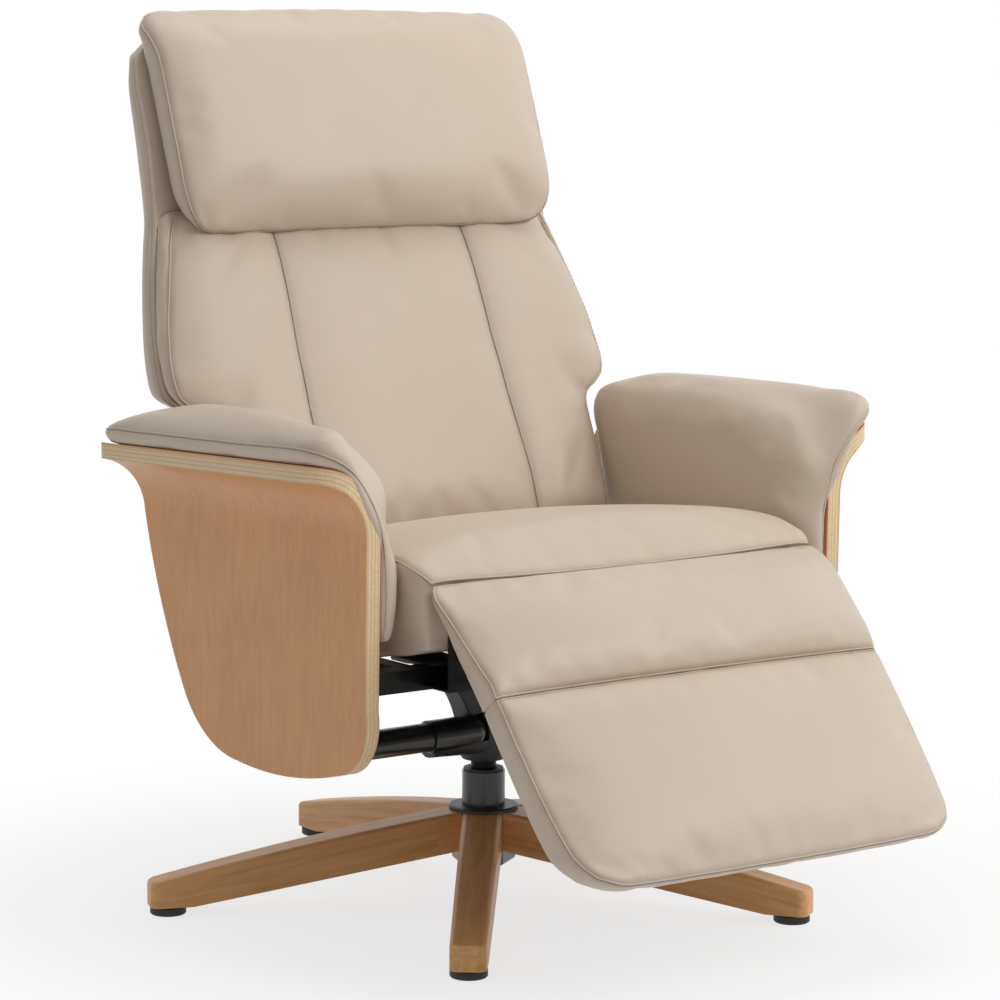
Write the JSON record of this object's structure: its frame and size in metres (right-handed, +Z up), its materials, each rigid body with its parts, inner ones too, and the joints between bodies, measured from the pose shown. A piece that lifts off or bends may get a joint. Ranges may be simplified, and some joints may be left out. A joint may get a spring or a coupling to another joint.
{
  "type": "swivel recliner",
  "caption": "Padded recliner on a turning wooden star base, with flared bent-plywood sides, a folding legrest, a reclining back and a tilting headrest.",
  "frame": {"origin": "on the floor under the middle of the chair's length and width at rest; the swivel axis stands 71.4 mm behind it, toward +Y", "axes": "+Z up; -Y the way the chair faces; +X is on the right as seen from in front of the chair, and right and left in the names of nodes are meant so"},
  "size_m": [0.7872, 0.9267, 1.0266],
  "materials": {
    "leather": "smooth beige leather with a soft sheen",
    "panel_wood": "clear-lacquered veneer with pale layered edges",
    "leg_wood": "clear satin lacquer",
    "board_wood": "bare plywood",
    "black_metal": "black semi-gloss paint",
    "flange_paint": "dark grey paint",
    "casting": "dark grey paint over a cast surface",
    "steel": "zinc-plated, lightly brushed",
    "black_plastic": "matt black",
    "webbing": "woven elastic webbing"
  },
  "bodies": {
    "base": {"leg_1": "leg_wood", "leg_2": "leg_wood", "leg_3": "leg_wood", "leg_4": "leg_wood", "leg_5": "leg_wood", "foot_glides": "black_plastic", "leg_bolts": "steel", "hub_core": "black_metal", "hub_flange": "flange_paint", "column_sleeve": "black_metal", "column_bushes": "black_plastic", "thrust_washer": "black_plastic"},
    "turning_part": {"spindle": "steel", "spindle_clip": "steel", "yoke_casting": "casting", "yoke_bolts": "steel", "cross_tubes": "black_metal", "tube_collars": "black_metal", "panel_plates": "black_metal", "panel_screws": "steel", "front_rail": "black_metal", "rear_rail": "black_metal", "middle_rail": "black_metal", "side_rails": "black_metal", "seat_webbing": "webbing", "side_panel_right": "panel_wood", "side_panel_left": "panel_wood", "arm_pad_right": "leather", "arm_pad_left": "leather", "seat_cushion": "leather", "front_apron": "black_metal", "legrest_hinge_pin": "steel", "back_pivot_bolts": "steel", "back_pivot_brackets": "black_metal", "spring_lugs": "black_metal", "spring_pin": "steel"},
    "legrest_upper": {"legrest_hinge_leaf": "steel", "legrest_upper_board": "board_wood", "legrest_upper_pad": "leather", "fold_hinge_upper_leaf": "steel", "fold_hinge_pin": "steel"},
    "legrest_lower": {"fold_hinge_lower_leaf": "steel", "legrest_lower_board": "board_wood", "legrest_lower_pad": "leather"},
    "backrest": {"back_pivot_tube": "black_metal", "back_pivot_plugs": "black_plastic", "back_frame": "black_metal", "back_straps": "webbing", "lever_plates": "black_metal", "lever_pin": "steel", "back_shell": "leather", "back_cushion": "leather", "headrest_ears": "steel", "headrest_pins": "steel"},
    "headrest": {"headrest_pillow": "leather", "headrest_board": "board_wood", "headrest_eyes": "steel"},
    "gas_cylinder": {"spring_cylinder": "black_metal"},
    "gas_rod": {"spring_rod": "steel"}
  },
  "joints": [
    {"name": "swivel", "type": "hinge", "parent": "base", "child": "turning_part", "pos_m": [0, 0.0714, 0.1], "axis": [0, 0, 1], "continuous": true},
    {"name": "legrest_lift", "type": "hinge", "parent": "turning_part", "child": "legrest_upper", "pos_m": [0, -0.1926, 0.411], "axis": [-1, 0, 0], "range_deg": [-14, 40]},
    {"name": "legrest_fold", "type": "hinge", "parent": "legrest_upper", "child": "legrest_lower", "pos_m": [0, -0.27435, 0.29117], "axis": [-1, 0, 0], "range_deg": [-80, 0]},
    {"name": "back_recline", "type": "hinge", "parent": "turning_part", "child": "backrest", "pos_m": [0, 0.1754, 0.398], "axis": [-1, 0, 0], "range_deg": [-8, 21]},
    {"name": "headrest_tilt", "type": "hinge", "parent": "backrest", "child": "headrest", "pos_m": [0, 0.3284, 0.792], "axis": [1, 0, 0], "range_deg": [0, 12]},
    {"name": "gas_pivot", "type": "hinge", "parent": "turning_part", "child": "gas_cylinder", "pos_m": [0, -0.0786, 0.27], "axis": [1, 0, 0], "range_deg": [-0.5, 1.2]},
    {"name": "gas_slide", "type": "slide", "parent": "gas_cylinder", "child": "gas_rod", "axis": [0, 0.9995, 0.0305], "range_m": [-0.0455, 0.0167]}
  ],
  "couplings": [
    {"joint": "gas_pivot", "follows": "back_recline", "ratio": 0.05},
    {"joint": "gas_slide", "follows": "back_recline", "m_per_rad": -0.118}
  ]
}
